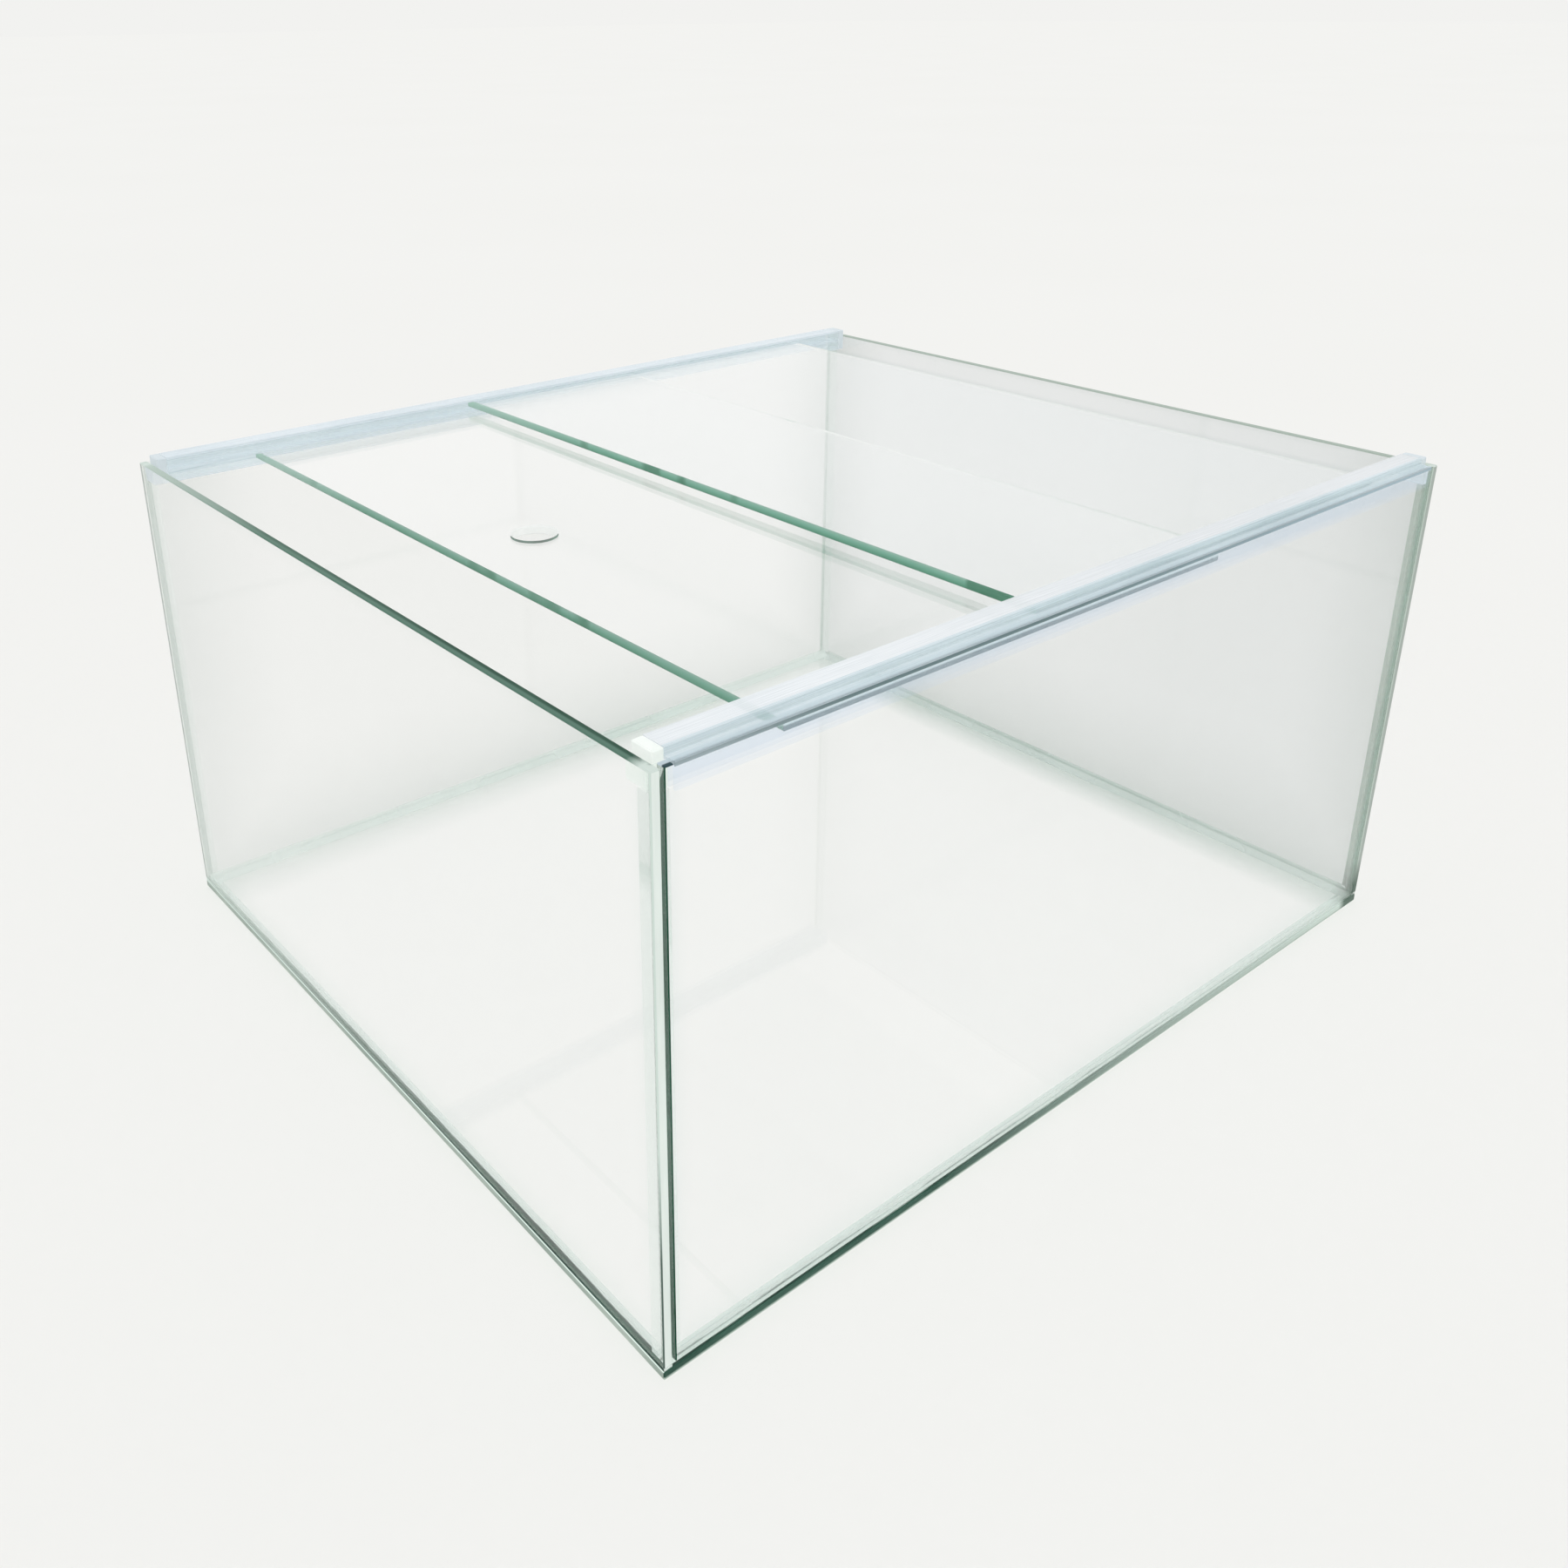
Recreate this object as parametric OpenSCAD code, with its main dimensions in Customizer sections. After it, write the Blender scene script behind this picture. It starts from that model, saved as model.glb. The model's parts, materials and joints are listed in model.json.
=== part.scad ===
// Glass hamster cage: an open-top tank of five silicone-bonded panes, with a pair of clear
// two-track rails pushed on to its long walls and two glass cover panes that slide in them.
// Units are millimetres and +Z is up. The origin is the centre of the footprint at floor level.
// +X runs along the rails, which is also the way the cover panes slide.

/* [Tank] */

// Outside length of the tank along the rails
tank_length = 600; // [560:10:700]

// Outside width of the tank over the two long walls
tank_width = 525; // [400:5:560]

// Height of the glass from the floor to the top edge of the walls
tank_height = 310; // [250:5:400]

// Thickness of every glass pane
glass_thickness = 5; // [4:0.5:6]

// Width of the small bevel ground along each glass edge
glass_arris = 0.6; // [0.2:0.1:0.8]

/* [Silicone] */

// Thickness of the silicone film between two bonded panes
bond_gap = 1.8; // [0.8:0.1:2.4]

// Leg of the silicone bead in each inside corner
bead_leg = 6; // [4:0.5:8]

// Thickness left at the thin edges of a bead
bead_edge = 0.6; // [0.4:0.1:1]

/* [Rails] */

// Wall thickness of the rail section
rail_wall = 1.4; // [1.2:0.1:1.6]

// Depth of a channel, from its back to its open mouth
channel_depth = 11.8; // [8:0.2:16]

// Height the rail's outer flange covers down the wall's outside face
flange_drop = 11; // [8:0.5:16]

// Free width of the rail's slot beyond the glass it is pushed on to
slot_play = 0.2; // [0.1:0.05:0.4]

// Length of the block that closes each rail end
stop_length = 5.9; // [4:0.1:10]

/* [Cover panes] */

// Length of each cover pane along the rails
cover_length = 305; // [290:1:320]

// Gap between a cover pane's long edge and the back of its channel
cover_side_gap = 1.5; // [1:0.1:3]

// Clearance under a cover pane in its channel
cover_under_gap = 0.3; // [0.3:0.05:0.5]

// Clearance over a cover pane in its channel
cover_over_gap = 0.6; // [0.3:0.05:1]

// Distance from the tank's left end to the lower cover's left edge
lower_cover_start = 72; // [12:1:100]

// Distance from the tank's left end to the upper cover's left edge
upper_cover_start = 232; // [200:1:245]

// Diameter of the finger hole in the lower cover
finger_hole_diameter = 25; // [20:1:35]

// Distance from the lower cover's left edge to the centre of the finger hole
finger_hole_inset = 49.5; // [30:0.5:80]

/* [Hidden] */

$fn = 96;
eps = 0.01;

half_length = tank_length / 2;
half_width = tank_width / 2;
inner_half_length = half_length - glass_thickness;
inner_half_width = half_width - glass_thickness;
wall_bottom = glass_thickness + bond_gap;
wall_height = tank_height - wall_bottom;
long_wall_half_length = inner_half_length - bond_gap;

// Rail section, measured inwards from the outside face of the long wall
web_start = glass_thickness + slot_play;
web_end = web_start + rail_wall;
channel_mouth = web_end + channel_depth;
channel_height = glass_thickness + cover_under_gap + cover_over_gap;
saddle_top = tank_height + rail_wall;
lower_lip_bottom = tank_height - flange_drop;
lower_channel_floor = lower_lip_bottom + rail_wall;
partition_bottom = lower_channel_floor + channel_height;
upper_channel_floor = partition_bottom + rail_wall;
top_lip_bottom = upper_channel_floor + channel_height;
rail_top = top_lip_bottom + rail_wall;

rail_half_length = inner_half_length - stop_length;
stop_height = rail_top - lower_lip_bottom;
stop_edge = 0.6;

cover_width = tank_width - 2 * (web_end + cover_side_gap);
lower_cover_z = lower_channel_floor + cover_under_gap;
upper_cover_z = upper_channel_floor + cover_under_gap;
lower_cover_x = lower_cover_start - half_length;
upper_cover_x = upper_cover_start - half_length;
finger_hole_x = lower_cover_x + finger_hole_inset;

// Films stop just short of the glass faces; beads stand clear of the rails
film_recess = 0.3;
bead_clear = 0.5;
bead_centre = bead_leg + 1;
bead_radius = sqrt(pow(bead_centre - bead_edge, 2) + 1);
corner_bead_bottom = glass_thickness + bead_leg;
corner_bead_top = lower_lip_bottom - bead_clear;
film_depth = glass_thickness - film_recess;

glass_green = [0.72, 0.86, 0.80, 0.45];
cover_green = [0.66, 0.84, 0.77, 0.45];
rail_clear = [0.90, 0.91, 0.94, 0.75];
stop_white = [0.93, 0.96, 0.93];
silicone_clear = [0.82, 0.86, 0.84, 0.7];

// Rectangle with its four corners bevelled
module bevelled_rect(a, b, bevel) {
    polygon([
        [bevel, 0],
        [a - bevel, 0],
        [a, bevel],
        [a, b - bevel],
        [a - bevel, b],
        [bevel, b],
        [0, b - bevel],
        [0, bevel]
    ]);
}

// Block with all twelve edges bevelled
module bevelled_block(x, y, z, bevel) {
    intersection() {
        linear_extrude(height = z)
            bevelled_rect(x, y, bevel);
        translate([0, y, 0])
            rotate([90, 0, 0])
                linear_extrude(height = y)
                    bevelled_rect(x, z, bevel);
        rotate([90, 0, 90])
            linear_extrude(height = x)
                bevelled_rect(y, z, bevel);
    }
}

module glass_pane(x, y, z) {
    bevelled_block(x, y, z, glass_arris);
}

module base_pane() {
    color(glass_green)
        translate([-half_length, -half_width, 0])
            glass_pane(tank_length, tank_width, glass_thickness);
}

module long_wall() {
    color(glass_green)
        translate([-long_wall_half_length, -half_width, wall_bottom])
            glass_pane(2 * long_wall_half_length, glass_thickness, wall_height);
}

module front_wall() {
    long_wall();
}

module rear_wall() {
    mirror([0, 1, 0])
        long_wall();
}

module end_wall() {
    color(glass_green)
        translate([-half_length, -half_width, wall_bottom])
            glass_pane(glass_thickness, tank_width, wall_height);
}

module left_end_wall() {
    end_wall();
}

module right_end_wall() {
    mirror([1, 0, 0])
        end_wall();
}

// Slot over the wall's top edge on one side, two channels facing the tank on the other
module rail_section() {
    polygon([
        [-rail_wall, lower_lip_bottom],
        [0, lower_lip_bottom],
        [0, tank_height],
        [web_start, tank_height],
        [web_start, lower_lip_bottom],
        [channel_mouth, lower_lip_bottom],
        [channel_mouth, lower_channel_floor],
        [web_end, lower_channel_floor],
        [web_end, partition_bottom],
        [channel_mouth, partition_bottom],
        [channel_mouth, upper_channel_floor],
        [web_end, upper_channel_floor],
        [web_end, top_lip_bottom],
        [channel_mouth, top_lip_bottom],
        [channel_mouth, rail_top],
        [web_start, rail_top],
        [web_start, saddle_top],
        [-rail_wall, saddle_top]
    ]);
}

module rail() {
    color(rail_clear)
        translate([-rail_half_length, -half_width, 0])
            rotate([90, 0, 90])
                linear_extrude(height = 2 * rail_half_length)
                    rail_section();
}

module front_rail() {
    rail();
}

module rear_rail() {
    mirror([0, 1, 0])
        rail();
}

// Block bonded in the corner so that it closes both channels at the rail's end
module rail_stop() {
    color(stop_white)
        translate([-inner_half_length, -inner_half_width, lower_lip_bottom])
            bevelled_block(stop_length, channel_mouth - glass_thickness, stop_height, stop_edge);
}

module front_left_rail_stop() {
    rail_stop();
}

module front_right_rail_stop() {
    mirror([1, 0, 0])
        rail_stop();
}

module rear_left_rail_stop() {
    mirror([0, 1, 0])
        rail_stop();
}

module rear_right_rail_stop() {
    mirror([0, 1, 0])
        mirror([1, 0, 0])
            rail_stop();
}

// Hole with a ground bevel at both faces of the pane
module finger_hole() {
    radius = finger_hole_diameter / 2;
    translate([0, 0, -eps])
        cylinder(h = glass_thickness + 2 * eps, r = radius);
    translate([0, 0, -eps])
        cylinder(h = glass_arris + eps, r1 = radius + glass_arris + eps, r2 = radius);
    translate([0, 0, glass_thickness - glass_arris])
        cylinder(h = glass_arris + eps, r1 = radius, r2 = radius + glass_arris + eps);
}

module lower_cover_pane() {
    color(cover_green)
        difference() {
            translate([lower_cover_x, -cover_width / 2, lower_cover_z])
                glass_pane(cover_length, cover_width, glass_thickness);
            translate([finger_hole_x, 0, lower_cover_z])
                finger_hole();
        }
}

module upper_cover_pane() {
    color(cover_green)
        translate([upper_cover_x, -cover_width / 2, upper_cover_z])
            glass_pane(cover_length, cover_width, glass_thickness);
}

// Tooled bead with a hollow face, running up +Z in the corner of +X and +Y
module bead(run) {
    difference() {
        cube([bead_leg, bead_leg, run]);
        translate([bead_centre, bead_centre, -eps])
            cylinder(h = run + 2 * eps, r = bead_radius);
    }
}

// Film between the long wall's end and the end wall, with the bead inside the corner
module corner_seam() {
    film_height = tank_height - film_recess - wall_bottom;
    color(silicone_clear)
        union() {
            translate([-inner_half_length, -inner_half_width - film_depth, wall_bottom])
                cube([bond_gap, film_depth + eps, film_height]);
            translate([-inner_half_length, -inner_half_width, corner_bead_bottom])
                bead(corner_bead_top - corner_bead_bottom);
        }
}

module front_left_corner_seam() {
    corner_seam();
}

module front_right_corner_seam() {
    mirror([1, 0, 0])
        corner_seam();
}

module rear_left_corner_seam() {
    mirror([0, 1, 0])
        corner_seam();
}

module rear_right_corner_seam() {
    mirror([0, 1, 0])
        mirror([1, 0, 0])
            corner_seam();
}

// Film under the long wall, with the bead inside it
module long_base_seam() {
    color(silicone_clear)
        union() {
            translate([-inner_half_length, -inner_half_width - film_depth, glass_thickness])
                cube([2 * inner_half_length, film_depth + eps, bond_gap]);
            translate([-inner_half_length, -inner_half_width, glass_thickness])
                rotate([90, 0, 90])
                    bead(2 * inner_half_length);
        }
}

module front_base_seam() {
    long_base_seam();
}

module rear_base_seam() {
    mirror([0, 1, 0])
        long_base_seam();
}

// Film under the end wall; its bead stops where the long ones have been laid
module end_base_seam() {
    end_run = 2 * (inner_half_width - bead_leg);
    film_half_run = half_width - film_recess;
    color(silicone_clear)
        union() {
            translate([-inner_half_length - film_depth, -film_half_run, glass_thickness])
                cube([film_depth, 2 * film_half_run, bond_gap]);
            translate([-inner_half_length, end_run / 2, glass_thickness])
                rotate([90, 0, 0])
                    bead(end_run);
        }
}

module left_base_seam() {
    end_base_seam();
}

module right_base_seam() {
    mirror([1, 0, 0])
        end_base_seam();
}

base_pane();
front_wall();
rear_wall();
left_end_wall();
right_end_wall();
front_rail();
rear_rail();
front_left_rail_stop();
front_right_rail_stop();
rear_left_rail_stop();
rear_right_rail_stop();
lower_cover_pane();
upper_cover_pane();
front_left_corner_seam();
front_right_corner_seam();
rear_left_corner_seam();
rear_right_corner_seam();
front_base_seam();
rear_base_seam();
left_base_seam();
right_base_seam();
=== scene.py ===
import json
import math

import bpy
from mathutils import Matrix, Vector


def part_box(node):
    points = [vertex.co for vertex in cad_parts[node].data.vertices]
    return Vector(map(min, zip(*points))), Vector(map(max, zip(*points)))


# A glass tank with two clear rails, in which glass cover panes slide. Every piece is a CAD node
# and keeps its shape and place; this script gives each face its material, and adds the floor,
# light and camera. Places are in metres and colours are linear.

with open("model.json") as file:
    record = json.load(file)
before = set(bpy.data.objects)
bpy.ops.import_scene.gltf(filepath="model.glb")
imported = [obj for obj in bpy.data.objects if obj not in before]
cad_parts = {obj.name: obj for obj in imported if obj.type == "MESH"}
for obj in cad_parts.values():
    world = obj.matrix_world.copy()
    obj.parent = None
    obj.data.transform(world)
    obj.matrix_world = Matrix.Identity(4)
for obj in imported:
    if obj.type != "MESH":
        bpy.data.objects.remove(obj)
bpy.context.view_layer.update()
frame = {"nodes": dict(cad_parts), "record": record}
nodes = frame["nodes"]

COVERS = ("lower_cover_pane", "upper_cover_pane")
LONG_WALLS = ("front_wall", "rear_wall")
RAILS = ("front_rail", "rear_rail")
STOPS = tuple(name for name in nodes if name.endswith("_rail_stop"))
SEAMS = tuple(name for name in nodes if name.endswith("_seam"))

# ---------------------------------------------------------------- places, from the frame

# An END is how far a thing reaches along +X, a SIDE how far along +Y. Both mirror.
wall_low, wall_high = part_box("rear_wall")
rail_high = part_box("rear_rail")[1]
WALL_FOOT, WALL_HEAD = wall_low.z, wall_high.z
WALL_END, TANK_SIDE = wall_high.x, wall_high.y
TANK_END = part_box("right_end_wall")[1].x
RAIL_SIDE, RAIL_HEAD = rail_high.y, rail_high.z
LOWER_FOOT, LOWER_HEAD = (corner.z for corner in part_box("lower_cover_pane"))
UPPER_FOOT, UPPER_HEAD = (corner.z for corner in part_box("upper_cover_pane"))

# The finger hole's straight wall ends where its upper chamfer starts. Narrow faces with their
# middle nearer the hole's axis than HOLE_REACH are its wall or its chamfers.
MM = 0.001
hole = next(mount for mount in frame["record"]["mounts"] if mount["name"] == "finger_hole")
HOLE_CENTRE = Vector(hole["pos_m"][:2])
HOLE_REACH = (hole["dims"]["r_mm"] + 3.5) * MM
CHAMFER_FOOT = hole["pos_m"][2] + hole["dims"]["length_mm"] / 2 * MM

# ---------------------------------------------------------------- node helpers

# The Mix node has sockets of every data type; these are its colours.
COLOUR_A, COLOUR_B, COLOUR_RESULT = 6, 7, 2


class Graph:
    """Short calls for building one material's nodes."""

    def __init__(self, name):
        self.mat = bpy.data.materials.new(name)
        self.mat.use_nodes = True
        self.tree = self.mat.node_tree
        self.tree.nodes.clear()
        self.out = self.tree.nodes.new("ShaderNodeOutputMaterial")
        self.coord = self.tree.nodes.new("ShaderNodeTexCoord").outputs["Object"]

    def node(self, kind, **values):
        made = self.tree.nodes.new(kind)
        for key, value in values.items():
            setattr(made, key, value)
        return made

    def set(self, socket, value):
        """Links a socket as input, or types a number, vector or RGB colour into it."""
        if isinstance(value, bpy.types.NodeSocket):
            self.tree.links.new(value, socket)
        elif isinstance(value, tuple) and len(value) == 3 and socket.type == "RGBA":
            socket.default_value = (*value, 1.0)
        else:
            socket.default_value = value

    def noise(self, scale, detail=3.0, rough=0.5, stretch=(1, 1, 1)):
        mapping = self.node("ShaderNodeMapping")
        self.set(mapping.inputs["Vector"], self.coord)
        mapping.inputs["Scale"].default_value = stretch
        texture = self.node("ShaderNodeTexNoise")
        self.set(texture.inputs["Vector"], mapping.outputs[0])
        texture.inputs["Scale"].default_value = scale
        texture.inputs["Detail"].default_value = detail
        texture.inputs["Roughness"].default_value = rough
        return texture.outputs["Fac"]

    def axis(self, which):
        """The place along one axis."""
        split = self.node("ShaderNodeSeparateXYZ")
        self.set(split.inputs[0], self.coord)
        return split.outputs["XYZ".index(which)]

    def apart(self, which):
        """The distance from the tank's middle along one axis, on either side."""
        return self.math("ABSOLUTE", self.axis(which), 0.0)

    def span(self, value, low, high, to_low=0.0, to_high=1.0):
        """value from low..high mapped to to_low..to_high, clamped."""
        ranged = self.node("ShaderNodeMapRange")
        self.set(ranged.inputs["Value"], value)
        ranged.inputs["From Min"].default_value = low
        ranged.inputs["From Max"].default_value = high
        ranged.inputs["To Min"].default_value = to_low
        ranged.inputs["To Max"].default_value = to_high
        return ranged.outputs[0]

    def near(self, value, edge, start, full, most=1.0):
        """0 until value is start short of edge, then rising to most where it is full short of it."""
        inward = math.copysign(1.0, edge)
        return self.span(value, edge - inward * start, edge - inward * full, 0.0, most)

    def beyond(self, which):
        """0 before the tank's middle along one axis and 1 past it."""
        return self.span(self.axis(which), -0.01, 0.01)

    def band(self, value, rise, fall):
        """1 between two places, with a soft start and end: rise and fall are (from, to) pairs."""
        return self.math("MULTIPLY", self.span(value, *rise), self.span(value, *fall, 1.0, 0.0))

    def math(self, operation, a, b):
        made = self.node("ShaderNodeMath", operation=operation)
        self.set(made.inputs[0], a)
        self.set(made.inputs[1], b)
        return made.outputs[0]

    def blend(self, share, a, b, kind="MIX"):
        """Colour a at share 0. At share 1, colour b, or a times b where kind is MULTIPLY."""
        mix = self.node("ShaderNodeMix", data_type="RGBA", blend_type=kind)
        self.set(mix.inputs["Factor"], share)
        self.set(mix.inputs[COLOUR_A], a)
        self.set(mix.inputs[COLOUR_B], b)
        return mix.outputs[COLOUR_RESULT]

    def ramp(self, value, bands, body):
        """A colour ramp through (place, colour) pairs, each colour times body."""
        made = self.node("ShaderNodeValToRGB")
        self.set(made.inputs[0], value)
        stops = made.color_ramp.elements
        while len(stops) < len(bands):
            stops.new(0.5)
        for stop, (place, colour) in zip(stops, bands):
            stop.position = place
            stop.color = (*(body * channel for channel in colour), 1.0)
        return made.outputs[0]

    def bump(self, height, strength, distance):
        made = self.node("ShaderNodeBump")
        made.inputs["Strength"].default_value = strength
        made.inputs["Distance"].default_value = distance
        self.set(made.inputs["Height"], height)
        return made.outputs[0]

    def principled(self, colour, rough, **inputs):
        made = self.node("ShaderNodeBsdfPrincipled")
        self.set(made.inputs["Base Color"], colour)
        self.set(made.inputs["Roughness"], rough)
        for key, value in inputs.items():
            self.set(made.inputs[key.replace("_", " ")], value)
        return made.outputs[0]

    def clear(self, colour):
        made = self.node("ShaderNodeBsdfTransparent")
        self.set(made.inputs[0], colour)
        return made.outputs[0]

    def mix(self, share, a, b):
        """Shader a at share 0, b at 1."""
        made = self.node("ShaderNodeMixShader")
        self.set(made.inputs[0], share)
        self.set(made.inputs[1], a)
        self.set(made.inputs[2], b)
        return made.outputs[0]

    def backface(self):
        return self.node("ShaderNodeNewGeometry").outputs["Backfacing"]

    def done(self, shader, light_through=None):
        """light_through is the tint with which lamps and bounced light pass the surface."""
        if light_through is not None:
            for ray in ("Is Shadow Ray", "Is Diffuse Ray"):
                share = self.node("ShaderNodeLightPath").outputs[ray]
                shader = self.mix(share, shader, self.clear(light_through))
        self.set(self.out.inputs["Surface"], shader)
        return self.mat


# ---------------------------------------------------------------- what the materials share

# LIGHT tints the lamp light that gets through a surface, and CLEAR what is seen through it.
GLASS_LIGHT = (0.998, 1.0, 0.999)
SEAM_LIGHT = (0.97, 0.985, 0.975)
GLASS_CLEAR = (0.985, 0.995, 0.99)
FOOT_CLEAR = (0.98, 0.99, 0.985)
RAIL_CLEAR = (0.975, 0.985, 1.0)
STOP_CLEAR = (0.96, 0.99, 0.97)


def along(g, colour, marks):
    """colour, turning into a mark's own between its two places: (axis, from, to, colour) each."""
    for which, low, high, tint in marks:
        colour = g.blend(g.span(g.axis(which), low, high), colour, tint)
    return colour


def paling(g, tone):
    """tone, paling towards +X and +Y."""
    right = g.span(g.axis("X"), -0.12, 0.26)
    rear = g.span(g.axis("Y"), -0.12, 0.26)
    return g.blend(g.math("MAXIMUM", right, rear), tone, (0.57, 0.66, 0.61))


def far_corner(g, colour):
    """colour, with dark green silicone squeezed out at the foot of the front right corner."""
    right = g.near(g.axis("X"), TANK_END, 0.021, 0.014)
    front = g.near(g.axis("Y"), -TANK_SIDE, 0.0165, 0.0085)
    share = g.math("MULTIPLY", right, front)
    share = g.math("MULTIPLY", share, g.span(g.axis("Z"), 0.034, 0.014))
    return g.blend(share, colour, (0.10, 0.15, 0.12))


def streaks(g, run):
    """Grinding streaks that run along an axis, mixed with slow patches, 0 to 1, and their bump."""
    stretch = tuple(1 if which == run else 18 for which in "XYZ")
    streak = g.span(g.noise(26.0, 4.0, 0.6, stretch), 0.3, 0.7)
    patch = g.span(g.noise(11.0, 2.0), 0.38, 0.62)
    grain = g.bump(g.noise(420.0, 2.0, 0.6, stretch), 0.15, 0.0004)
    return g.math("MULTIPLY", g.math("ADD", streak, patch), 0.5), grain


def two_sided(g, colour, rough, shine, grain, inside):
    """Solid seen from outside. From within the glass the inside share of it shows, or all of
    it where inside is None."""
    colour = far_corner(g, colour)
    solid = g.principled(colour, rough, Specular_IOR_Level=shine, Normal=grain)
    if inside is None:
        return g.done(solid, SEAM_LIGHT)
    seen = g.mix(inside, g.clear(GLASS_CLEAR), solid)
    return g.done(g.mix(g.backface(), solid, seen), SEAM_LIGHT)


# ---------------------------------------------------------------- polished faces


def wall_painted_shade(across, half, side_wide, foot_wide, head_wide):
    """Gives where painted shade lies on a standing pane, as a share: 0 in its middle, 1 at its sides
    and foot, 0.6 at its head. It reaches inwards by the three widths."""
    def share(g):
        side = g.near(g.apart(across), half, side_wide, 0.0)
        height = g.axis("Z")
        foot = g.span(height, WALL_FOOT, WALL_FOOT + foot_wide, 1.0, 0.0)
        head = g.near(height, WALL_HEAD, head_wide, 0.0, 0.6)
        most = g.math("MAXIMUM", g.math("MAXIMUM", side, foot), head)
        return g.math("POWER", most, 1.6)
    return share


def base_painted_shade(g):
    """Where painted shade lies on the base pane, as a share: 1 along its right edge, 0.6 along its
    rear one.
    """
    right = g.near(g.axis("X"), TANK_END, 0.039, 0.016)
    rear = g.near(g.axis("Y"), TANK_SIDE, 0.0465, 0.0145, 0.6)
    return g.math("MAXIMUM", right, rear)


def glass_face(name, tint, painted_border_shade=None, share=None, marks=(), painted_shading=()):
    """A polished pane face. Lamps and bounced light pass straight through it.
    It turns into the border's colour as far as share says: painted shade that darkens it along
    its borders. marks then turn it into their own colours, and the last argument's colours
    multiply it, as painted shade and light: (axis, from, to, colour) each."""
    g = Graph(name)
    smear = g.noise(7.0, 4.0, 0.6)
    colour = g.blend(smear, tint, tuple(0.985 * channel for channel in tint))
    if painted_border_shade is not None:
        uneven = g.math("MULTIPLY", share(g), g.span(smear, 0.2, 0.7, 0.8, 1.1))
        colour = g.blend(uneven, colour, painted_border_shade)
    colour = along(g, colour, marks)
    # Painted shade and light, multiplied in band by band.
    for which, low, high, by in painted_shading:
        colour = g.blend(g.span(g.axis(which), low, high), colour, by, "MULTIPLY")
    wave = g.bump(g.noise(5.0, 1.0), 0.02, 0.002)
    glass = g.principled(colour, 0.0, IOR=1.5, Transmission_Weight=1.0, Normal=wave)
    return g.done(glass, GLASS_LIGHT)


# ---------------------------------------------------------------- ground edges


def glass_edge(name, dark, light, rough=0.25, inside=None, run="Y", marks=(), shine=0.3):
    """A ground pane edge between a dark and a light green, with its streaks along run."""
    g = Graph(name)
    mixed, grain = streaks(g, run)
    colour = along(g, g.blend(mixed, dark, light), marks)
    return two_sided(g, colour, rough, shine, grain, inside)


def end_wall_top(name):
    """Dark green, lighter at the outer arris, towards the rear and on the right wall, with
    wiped silicone at both ends."""
    g = Graph(name)
    mixed, grain = streaks(g, "Y")
    colour = g.blend(mixed, (0.015, 0.055, 0.035), (0.050, 0.112, 0.080))
    arris = g.near(g.apart("X"), TANK_END, 0.0030, 0.0018, 0.85)
    colour = g.blend(arris, colour, (0.105, 0.20, 0.155))
    colour = g.blend(g.span(g.axis("Y"), -0.12, 0.16, 0.0, 0.6), colour, (0.11, 0.21, 0.16))
    rear = ("Y", 0.08, 0.25, (0.46, 0.55, 0.50))
    right = ("X", 0.20, 0.25, (0.36, 0.43, 0.38))
    colour = along(g, colour, (rear, right))
    ends = g.near(g.apart("Y"), TANK_SIDE, 0.0150, 0.0065)
    wiped = g.math("MULTIPLY", ends, g.span(g.noise(160.0, 3.0), 0.35, 0.5, 0.45, 0.95))
    colour = g.blend(wiped, colour, (0.62, 0.70, 0.66))
    return two_sided(g, colour, 0.3, 0.03, grain, 0.25)


def long_wall_top(name):
    """Long wall's top edge inside the rail: pale, with a dark line at its outer arris."""
    g = Graph(name)
    mixed, grain = streaks(g, "X")
    colour = g.blend(mixed, (0.42, 0.50, 0.55), (0.55, 0.62, 0.68))
    arris = g.near(g.apart("Y"), TANK_SIDE, 0.0023, 0.0015)
    colour = g.blend(arris, colour, (0.025, 0.055, 0.065))
    return two_sided(g, colour, 0.4, 0.2, grain, 0.5)


def base_long_edge(name):
    """The base pane's long edges: dark green like the seam over them, pale along the ground."""
    g = Graph(name)
    mixed, grain = streaks(g, "X")
    tone = paling(g, g.blend(mixed, (0.022, 0.068, 0.048), (0.05, 0.12, 0.088)))
    ground = g.span(g.axis("Z"), 0.0012, 0.0020, 1.0, 0.0)
    tone = g.blend(ground, tone, (0.40, 0.48, 0.43))
    return two_sided(g, tone, 0.4, 0.08, grain, 0.2)


# Colours up the edge of a cover pane, by share of its thickness: pale arrises at its foot and
# head, the darkest green just over the foot, and brighter above.
COVER_BANDS = (
    (0.00, (0.26, 0.43, 0.36)),
    (0.14, (0.085, 0.26, 0.175)),
    (0.34, (0.12, 0.335, 0.23)),
    (0.72, (0.21, 0.455, 0.35)),
    (1.00, (0.29, 0.44, 0.375)))


def cover_edge(name, foot, head, body):
    """A cover pane's short edges: bands of green with dark patches, paler towards the rear."""
    g = Graph(name)
    mixed, grain = streaks(g, "Y")
    bands = g.ramp(g.span(g.axis("Z"), foot, head), COVER_BANDS, body)
    patch = g.span(g.noise(16.0, 2.0, 0.5, (1, 1, 0.2)), 0.40, 0.43, 0.85, 0.0)
    colour = g.blend(patch, bands, (0.055, 0.185, 0.115))
    colour = g.blend(g.math("MULTIPLY", mixed, 0.2), colour, (0.25, 0.46, 0.37))
    colour = g.blend(g.span(g.axis("Y"), 0.10, 0.255, 0.0, 0.65), colour, (0.48, 0.63, 0.58))
    return two_sided(g, colour, 0.25, 0.3, grain, 0.04)


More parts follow.
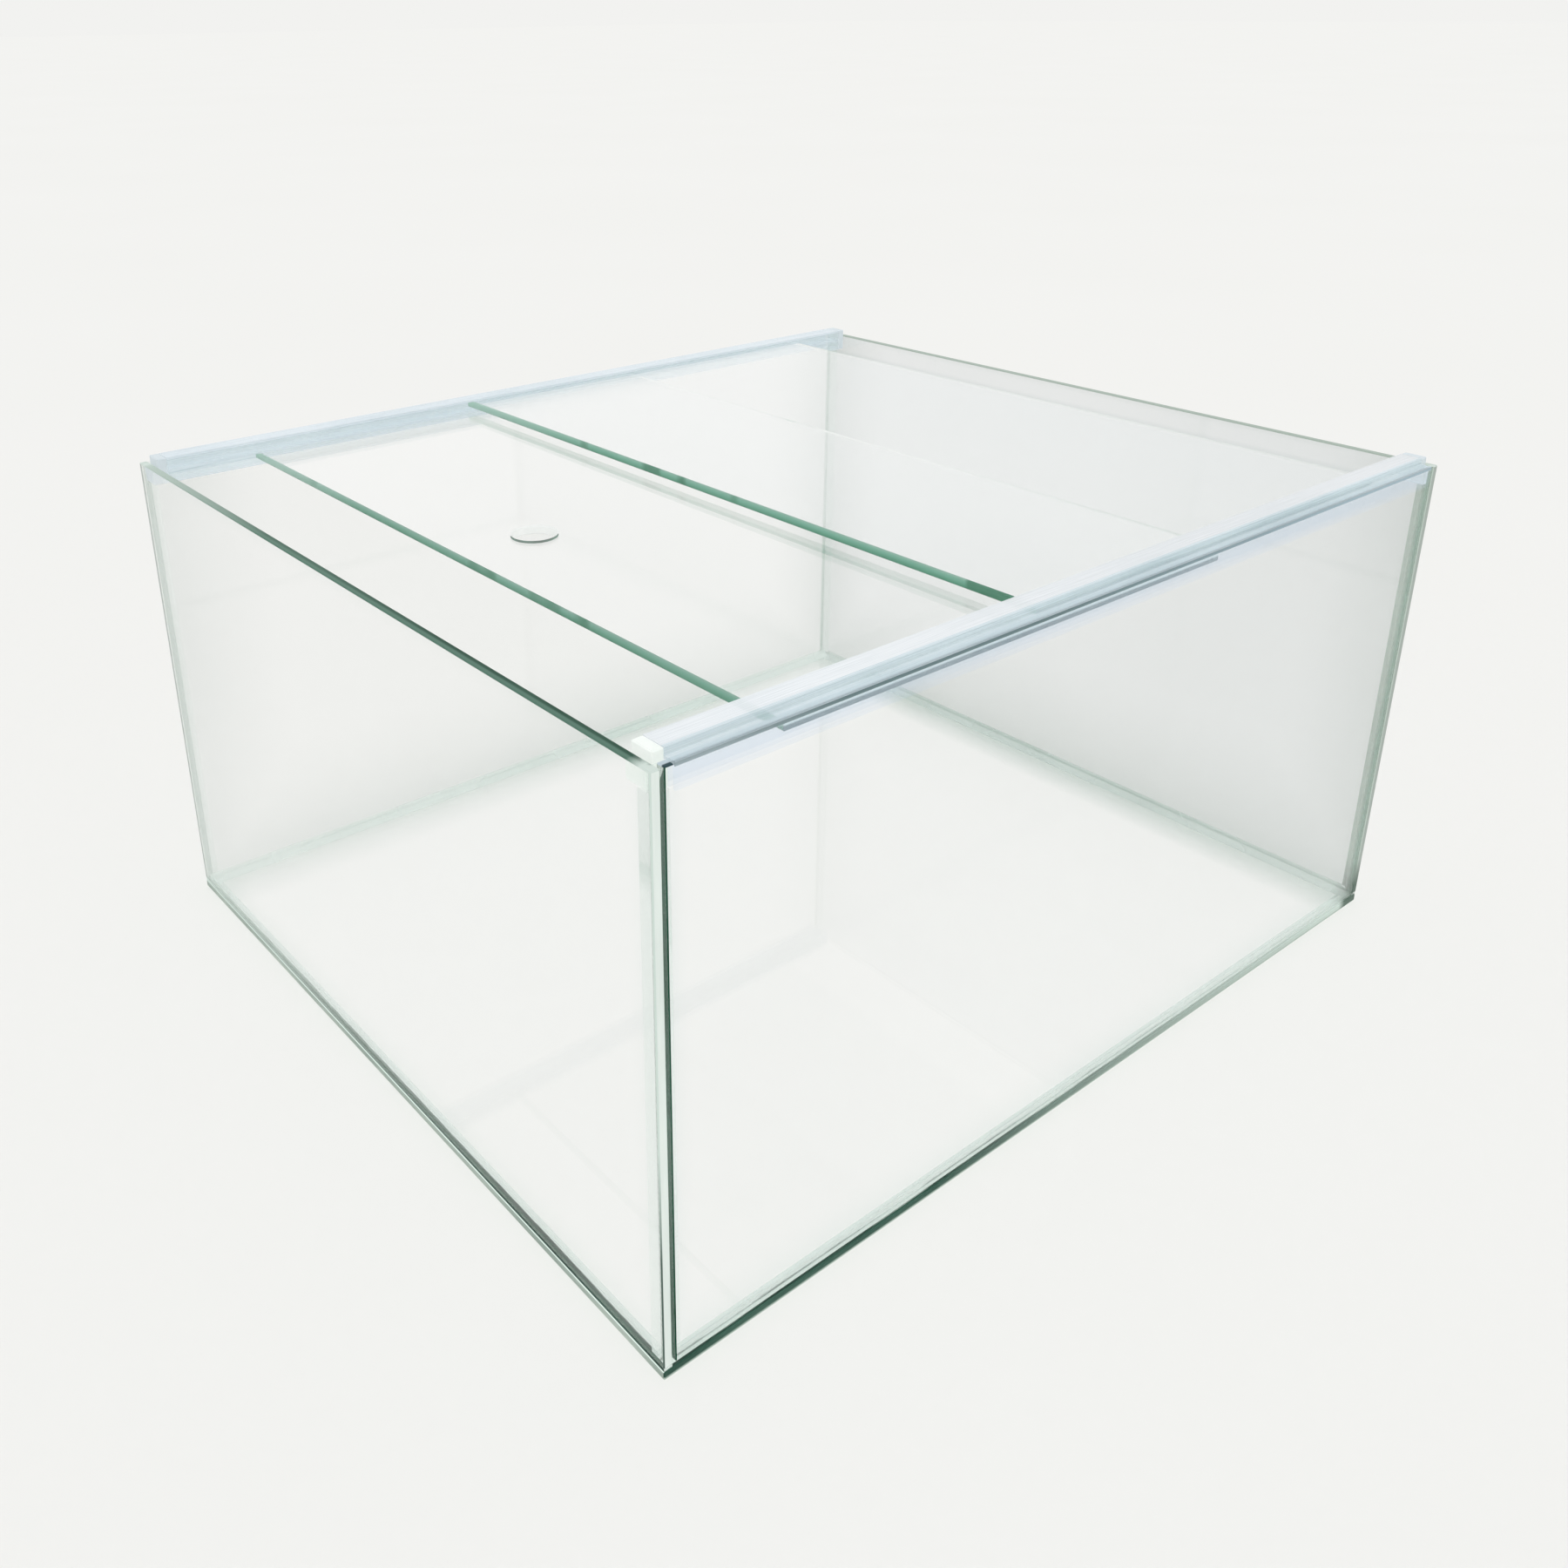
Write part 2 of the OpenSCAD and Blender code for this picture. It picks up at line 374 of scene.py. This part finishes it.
def cover_side(name):
    """The long edges of both cover panes: dark to about half a pane's height and pale above."""
    g = Graph(name)
    mixed, grain = streaks(g, "X")
    dark = g.blend(mixed, (0.10, 0.16, 0.185), (0.16, 0.235, 0.265))
    pale = g.blend(mixed, (0.60, 0.70, 0.74), (0.70, 0.79, 0.82))
    height = g.axis("Z")
    lower = g.span(height, LOWER_FOOT + 0.0024, LOWER_FOOT + 0.0032, 1.0, 0.0)
    upper = g.band(height, (LOWER_HEAD, UPPER_FOOT), (UPPER_FOOT + 0.0019, UPPER_FOOT + 0.0027))
    return two_sided(g, g.blend(g.math("MAXIMUM", lower, upper), pale, dark), 0.4, 0.2, grain, 0.04)


def hole_wall(name):
    """The drilled wall and its chamfers: dark through the glass and pale across the open hole."""
    g = Graph(name)
    tooth = g.span(g.noise(95.0, 2.0), 0.40, 0.58)
    green = g.blend(tooth, (0.004, 0.055, 0.03), (0.05, 0.15, 0.10))
    through = g.principled(green, 0.4, Specular_IOR_Level=0.1)
    frosted = g.blend(tooth, (0.84, 0.86, 0.85), (0.865, 0.88, 0.87))
    chamfer = g.span(g.axis("Z"), CHAMFER_FOOT - 0.0001, CHAMFER_FOOT + 0.0001)
    across = g.principled(g.blend(chamfer, frosted, (0.79, 0.81, 0.80)), 0.5, Specular_IOR_Level=0.0)
    return g.done(g.mix(g.backface(), across, through), SEAM_LIGHT)


# ---------------------------------------------------------------- plastic and silicone


def rail_colour(g, mixed, web, flange):
    """White lips, painted blue-grey shade on the web between them, and a thin flange. The rear rail is
    bluer.
    """
    lip = g.blend(mixed, (0.74, 0.78, 0.815), (0.78, 0.81, 0.835))
    lip = g.blend(g.span(g.axis("X"), -0.20, 0.05), lip, (0.70, 0.725, 0.75))
    thin = g.blend(mixed, (0.74, 0.81, 0.90), (0.82, 0.87, 0.94))
    # Painted shade on the web between the lips, in blue-grey.
    web_shade = g.blend(mixed, (0.53, 0.63, 0.68), (0.62, 0.72, 0.77))
    front = g.blend(web, g.blend(flange, lip, thin), web_shade)
    rear = g.blend(mixed, (0.62, 0.70, 0.755), (0.68, 0.75, 0.80))
    return g.blend(g.beyond("Y"), front, rear)


def rail_haze(g, mixed, web, height):
    """How cloudy the plastic is: more so on the rear rail and towards the head, and on the web, where
    it lets the painted shade show.
    """
    base = g.span(g.beyond("Y"), 0.0, 1.0, 0.06, 0.42)
    haze = g.math("MAXIMUM", base, g.near(height, RAIL_HEAD, 0.0072, 0.0014, 0.78))
    haze = g.math("MULTIPLY", haze, g.span(mixed, 0.0, 1.0, 0.85, 1.15))
    return g.math("MAXIMUM", haze, g.math("MULTIPLY", web, 0.55))


def rail_clear(name):
    """Clear extruded plastic with draw lines along X. The flange over the glass is almost
    clear, and the wall's top arris shows through it as a dark line."""
    g = Graph(name)
    lines = g.noise(60.0, 3.0, 0.5, (0.4, 40, 40))
    mixed = g.span(g.math("ADD", lines, g.noise(14.0, 3.0, 0.5)), 0.8, 1.2)
    across = g.apart("Y")
    height = g.axis("Z")
    above = g.span(height, WALL_HEAD - 0.0002, WALL_HEAD + 0.0002)
    web = g.math("MULTIPLY", g.near(across, RAIL_SIDE, 0.0084, 0.0082), above)
    flange = g.near(across, RAIL_SIDE, 0.0049, 0.0045)
    low_side = (WALL_HEAD - 0.0008, WALL_HEAD - 0.0005)
    high_side = (WALL_HEAD + 0.0009, WALL_HEAD + 0.0012)
    outer_face = g.near(across, RAIL_SIDE, 0.0009, 0.0007)
    arris = g.math("MULTIPLY", g.band(height, low_side, high_side), outer_face)
    dark = g.blend(g.span(g.axis("X"), -0.06, 0.20), (0.09, 0.15, 0.155), (0.30, 0.41, 0.47))
    dark = g.blend(g.span(g.axis("X"), -0.27, -0.20), (0.27, 0.34, 0.36), dark)
    tone = g.blend(arris, rail_colour(g, mixed, web, flange), dark)
    haze = g.math("MAXIMUM", rail_haze(g, mixed, web, height), g.math("MULTIPLY", arris, 0.9))
    draw = g.bump(lines, 0.2, 0.0003)
    solid = g.principled(tone, 0.2, Specular_IOR_Level=0.25, Normal=draw)
    return g.done(g.mix(haze, g.clear(RAIL_CLEAR), solid), SEAM_LIGHT)


def milky(name):
    """The near block is milky white; the far ones take the haze of the rails beside them."""
    g = Graph(name)
    cloud = g.span(g.noise(120.0, 3.0), 0.35, 0.65)
    tone = g.blend(cloud, (0.89, 0.925, 0.90), (0.83, 0.885, 0.85))
    tone = g.blend(g.math("MAXIMUM", g.beyond("X"), g.beyond("Y")), tone, (0.62, 0.69, 0.735))
    pit = g.bump(g.noise(700.0, 2.0), 0.2, 0.0003)
    solid = g.principled(tone, 0.35, Specular_IOR_Level=0.4, Normal=pit)
    return g.done(g.mix(0.88, g.clear(STOP_CLEAR), solid), SEAM_LIGHT)


def silicone(name, colour, deep, body):
    """Wiped silicone: translucent, with thicker and thinner places along the bead."""
    g = Graph(name)
    thick = g.span(g.noise(12.0, 2.0, 0.5), 0.35, 0.65)
    tone = far_corner(g, g.blend(thick, colour, deep))
    ripple = g.bump(g.noise(90.0, 2.0), 0.25, 0.0006)
    solid = g.principled(tone, 0.3, Specular_IOR_Level=0.4, Normal=ripple)
    share = g.span(thick, 0.0, 1.0, 0.9 * body, 1.1 * body)
    return g.done(g.mix(share, g.clear(GLASS_CLEAR), solid), SEAM_LIGHT)


def seam_foot(name, low, high):
    """Bonded side of a base seam: dark green where it wets the glass, clearing upwards
    between low and high. It pales towards +X and +Y and hardly shows from the tank's side."""
    g = Graph(name)
    thick = g.span(g.noise(22.0, 3.0, 0.55, (1, 1, 0.3)), 0.35, 0.65)
    tone = g.blend(thick, (0.010, 0.038, 0.026), (0.025, 0.078, 0.055))
    solid = g.principled(far_corner(g, paling(g, tone)), 0.4, Specular_IOR_Level=0.05)
    height = g.math("ADD", g.axis("Z"), g.span(thick, 0.0, 1.0, -0.0006, 0.0006))
    share = g.span(height, low, high, 0.97, 0.04)
    outside = g.mix(share, g.clear(FOOT_CLEAR), solid)
    inside = g.mix(0.12, g.clear(FOOT_CLEAR), solid)
    return g.done(g.mix(g.backface(), outside, inside), SEAM_LIGHT)


# ---------------------------------------------------------------- the panes' materials

WHITE = (1.0, 1.0, 1.0)
# Painted shade: each border colour darkens a face along its borders, and the rear and right walls'
# tints darken them all over.
FACES = {
    "base_pane": glass_face(
        "glass_face_base", WHITE, painted_border_shade=(0.68, 0.75, 0.725), share=base_painted_shade),
    "front_wall": glass_face(
        "glass_face_front", WHITE,
        painted_border_shade=(0.90, 0.935, 0.93), share=wall_painted_shade("X", WALL_END, 0.012, 0.035, 0.010)),
    "rear_wall": glass_face(
        "glass_face_rear", (0.975, 0.98, 0.977),
        painted_border_shade=(0.78, 0.81, 0.80), share=wall_painted_shade("X", WALL_END, 0.080, 0.090, 0.015)),
    "left_end_wall": glass_face(
        "glass_face_left", WHITE,
        painted_border_shade=(0.90, 0.93, 0.92), share=wall_painted_shade("Y", TANK_SIDE, 0.020, 0.035, 0.010),
        marks=(("Y", TANK_SIDE - 0.0110, TANK_SIDE - 0.0085, (0.80, 0.835, 0.82)),)),
    # Painted shade and light: the right end wall is tinted darker all over, darker still towards the
    # front and over its upper part, and painted lighter in its top 15 mm.
    "right_end_wall": glass_face(
        "glass_face_right", (0.862, 0.882, 0.887),
        painted_border_shade=(0.66, 0.70, 0.69), share=wall_painted_shade("Y", TANK_SIDE, 0.075, 0.095, 0.006),
        painted_shading=(("Y", -0.02, -0.22, (0.93, 0.94, 0.94)),
                ("Z", WALL_HEAD - 0.080, WALL_HEAD - 0.020, (0.95, 0.96, 0.965)),
                ("Z", WALL_HEAD - 0.0150, WALL_HEAD - 0.0125, (1.09, 1.07, 1.07)))),
    "lower_cover_pane": glass_face("glass_face_lower_cover", (0.985, 0.988, 0.986)),
    "upper_cover_pane": glass_face("glass_face_upper_cover", (0.955, 0.965, 0.966)),
}


def far_marks(right, rear):
    """Marks that turn an edge into one colour towards +X and another towards +Y."""
    return (("X", 0.0, TANK_END, right), ("Y", 0.0, 0.25, rear))


# Bonded and wetted edges have silicone on them, frosted ones stand free, and bevels are arrises.
edge_top = end_wall_top("glass_edge_top")
edge_long_top = long_wall_top("glass_edge_long_top")
edge_bonded = glass_edge(
    "glass_edge_bonded", (0.004, 0.045, 0.022), (0.022, 0.090, 0.056), run="Z", shine=0.05,
    marks=far_marks((0.25, 0.36, 0.30), (0.37, 0.44, 0.405)))
edge_wetted = glass_edge(
    "glass_edge_wetted", (0.35, 0.45, 0.40), (0.50, 0.60, 0.55), run="X", shine=0.1, inside=0.3)
edge_frost = glass_edge(
    "glass_edge_frost", (0.70, 0.77, 0.73), (0.80, 0.87, 0.83), rough=0.55, inside=0.85, run="Z",
    marks=(("Y", 0.0, 0.25, (0.33, 0.38, 0.36)), ("X", 0.0, TANK_END, (0.36, 0.41, 0.375))))
edge_base_long = base_long_edge("glass_edge_base_long")
edge_base = glass_edge(
    "glass_edge_base", (0.24, 0.31, 0.27), (0.44, 0.51, 0.455), rough=0.5, inside=0.25)
edge_lower = cover_edge("glass_edge_lower_cover", LOWER_FOOT, LOWER_HEAD, 0.80)
edge_upper = cover_edge("glass_edge_upper_cover", UPPER_FOOT, UPPER_HEAD, 0.92)
edge_side = cover_side("glass_edge_cover_side")
edge_hole = hole_wall("glass_edge_hole")
bevel_dark = glass_edge(
    "glass_bevel_dark", (0.02, 0.05, 0.04), (0.17, 0.24, 0.205), inside=0.4, run="Z",
    marks=(("Z", 0.07, 0.13, (0.60, 0.70, 0.65)), *far_marks((0.45, 0.52, 0.48), (0.42, 0.48, 0.455))))
# Painted highlight: the base pane's top arrises and the end walls' inner arrises are pale, as if
# catching light.
bevel_highlight = glass_edge(
    "glass_bevel_highlight", (0.68, 0.82, 0.75), (0.80, 0.92, 0.86), inside=0.15,
    marks=far_marks((0.50, 0.58, 0.53), (0.56, 0.64, 0.60)))

# A normal's part along an axis: above FLAT it faces that way, above SLANT it leans that way.
FLAT = 0.99
SLANT = 0.1


def thin_axis(name):
    """The axis across a pane's thickness."""
    low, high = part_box(name)
    return min(range(3), key=lambda axis: high[axis] - low[axis])


def edge_material(name, normal, centre):
    """Which ground edge or arris this narrow face of a pane is."""
    if name == "base_pane":
        if abs(normal.y) > SLANT:
            return edge_base_long
        return bevel_highlight if normal.z > SLANT else edge_base
    if name in COVERS:
        if name == "lower_cover_pane" and (centre.xy - HOLE_CENTRE).length < HOLE_REACH:
            return edge_hole
        if abs(normal.y) > SLANT:
            return edge_side
        return edge_lower if name == "lower_cover_pane" else edge_upper
    if normal.z < -SLANT:
        return edge_wetted if name in LONG_WALLS else edge_bonded
    if name in LONG_WALLS:
        return edge_long_top if normal.z > SLANT else edge_bonded
    if normal.z > SLANT:
        return edge_top
    if abs(normal.x) < SLANT:
        return edge_frost
    return bevel_dark if normal.x * centre.x > 0 else bevel_highlight


for name, face in FACES.items():
    thin = thin_axis(name)
    mesh = nodes[name].data
    mesh.materials.clear()
    slots = []
    for poly in mesh.polygons:
        flat = abs(poly.normal[thin]) > FLAT
        chosen = face if flat else edge_material(name, poly.normal, poly.center)
        if chosen not in slots:
            slots.append(chosen)
            mesh.materials.append(chosen)
        poly.material_index = slots.index(chosen)

# ---------------------------------------------------------------- the other pieces' materials

for names, material in ((RAILS, rail_clear("rail_plastic")), (STOPS, milky("stop_plastic"))):
    for name in names:
        nodes[name].data.materials.clear()
        nodes[name].data.materials.append(material)

silicone_thin = silicone("silicone_thin", (0.68, 0.76, 0.72), (0.78, 0.84, 0.81), 0.10)
silicone_thick = silicone("silicone_thick", (0.24, 0.33, 0.27), (0.32, 0.41, 0.35), 0.6)
silicone_base = silicone("silicone_base", (0.56, 0.65, 0.62), (0.66, 0.74, 0.71), 0.32)
silicone_right = silicone("silicone_right_base", (0.42, 0.50, 0.475), (0.50, 0.58, 0.555), 0.38)
foot_end = seam_foot("silicone_foot_end", WALL_FOOT + 0.0024, WALL_FOOT + 0.0036)
foot_long = seam_foot("silicone_foot_long", WALL_FOOT - 0.0006, WALL_FOOT + 0.0014)

# Each base seam's bead, its bonded side, and the way that side faces.
BASE_SEAMS = {
    "front_base_seam": (silicone_base, foot_long, (0, -1, 0)),
    "rear_base_seam": (silicone_base, foot_long, (0, 1, 0)),
    "left_base_seam": (silicone_base, foot_end, (-1, 0, 0)),
    "right_base_seam": (silicone_right, foot_end, (1, 0, 0)),
}

for name in SEAMS:
    mesh = nodes[name].data
    mesh.materials.clear()
    if name not in BASE_SEAMS:
        mesh.materials.append(silicone_thick if name == "front_right_corner_seam" else silicone_thin)
        continue
    bead, foot, outward = BASE_SEAMS[name]
    mesh.materials.append(bead)
    mesh.materials.append(foot)
    for poly in mesh.polygons:
        if poly.normal.dot(Vector(outward)) > FLAT:
            poly.material_index = 1

# ---------------------------------------------------------------- floor, light and camera

FLOOR_HALF = 40.0
FLOOR_DROP = 0.0006     # keeps the floor off the underside of the base pane


def pale_floor():
    """A sheet of pale paper, far wider than the tank."""
    g = Graph("floor_paper")
    cloud = g.span(g.noise(1.2, 2.0), 0.3, 0.7)
    tone = g.blend(cloud, (0.800, 0.800, 0.785), (0.806, 0.806, 0.792))
    paper = g.done(g.principled(tone, 0.9, Specular_IOR_Level=0.0))
    corners = ((-1, -1), (1, -1), (1, 1), (-1, 1))
    points = [(FLOOR_HALF * x, FLOOR_HALF * y, -FLOOR_DROP) for x, y in corners]
    mesh = bpy.data.meshes.new("floor")
    mesh.from_pydata(points, [], [(0, 1, 2, 3)])
    mesh.materials.append(paper)
    return bpy.data.objects.new("floor", mesh)


def studio_sky(light, seen):
    """An even sky that lights the scene in one colour and is seen by the camera in another."""
    world = bpy.data.worlds.new("studio")
    world.use_nodes = True
    tree = world.node_tree
    tree.nodes.clear()
    out = tree.nodes.new("ShaderNodeOutputWorld")
    pick = tree.nodes.new("ShaderNodeMixShader")
    rays = tree.nodes.new("ShaderNodeLightPath")
    tree.links.new(rays.outputs["Is Camera Ray"], pick.inputs[0])
    for slot, colour in ((1, light), (2, seen)):
        background = tree.nodes.new("ShaderNodeBackground")
        background.inputs[0].default_value = (*colour, 1.0)
        tree.links.new(background.outputs[0], pick.inputs[slot])
    tree.links.new(pick.outputs[0], out.inputs["Surface"])
    return world


def soft_sun(strength, width, tilt):
    """A wide sun; width and tilt are in degrees."""
    sun = bpy.data.lights.new("soft_sun", "SUN")
    sun.energy = strength
    sun.angle = math.radians(width)
    lamp = bpy.data.objects.new("soft_sun", sun)
    lamp.rotation_euler = [math.radians(angle) for angle in tilt]
    return lamp


# The photo's camera, found from the tank's straight edges. Its angles are in degrees: a turn
# about Z, a tilt up from straight down, and a roll about its own line of sight. The lens and the
# sensor are in millimetres, and the shift is in shares of the picture's width.
EYE = Vector((-0.58549, -0.64503, 0.57066))
TURN, TILT, ROLL = -38.880, 67.337, -0.556
LENS, SENSOR = 33.71, 36.0
SHIFT_X, SHIFT_Y = 0.05572, -0.10572


def photo_camera():
    """A camera that frames the tank as the photo does."""
    data = bpy.data.cameras.new("camera")
    data.sensor_width = SENSOR
    data.lens = LENS
    data.shift_x = SHIFT_X
    data.shift_y = SHIFT_Y
    data.clip_start = 0.01
    data.clip_end = 200.0
    camera = bpy.data.objects.new("camera", data)
    aim = Matrix.Translation(EYE)
    for angle, axis in ((TURN, "Z"), (TILT, "X"), (ROLL, "Z")):
        aim = aim @ Matrix.Rotation(math.radians(angle), 4, axis)
    camera.matrix_world = aim
    return camera


floor = pale_floor()
sun = soft_sun(0.36, 70, (28, -18, 0))
camera = photo_camera()
for thing in (floor, sun, camera):
    bpy.context.scene.collection.objects.link(thing)

scene = bpy.context.scene
scene.world = studio_sky(light=(1.02, 1.02, 1.015), seen=(0.888, 0.888, 0.871))
scene.camera = camera
scene.view_settings.view_transform = "Standard"

# A ray crosses many faces of glass before it leaves the tank.
scene.cycles.max_bounces = 32
scene.cycles.transmission_bounces = 32
scene.cycles.transparent_max_bounces = 48
scene.cycles.glossy_bounces = 12
scene.cycles.diffuse_bounces = 3
scene.cycles.caustics_reflective = False
scene.cycles.caustics_refractive = False
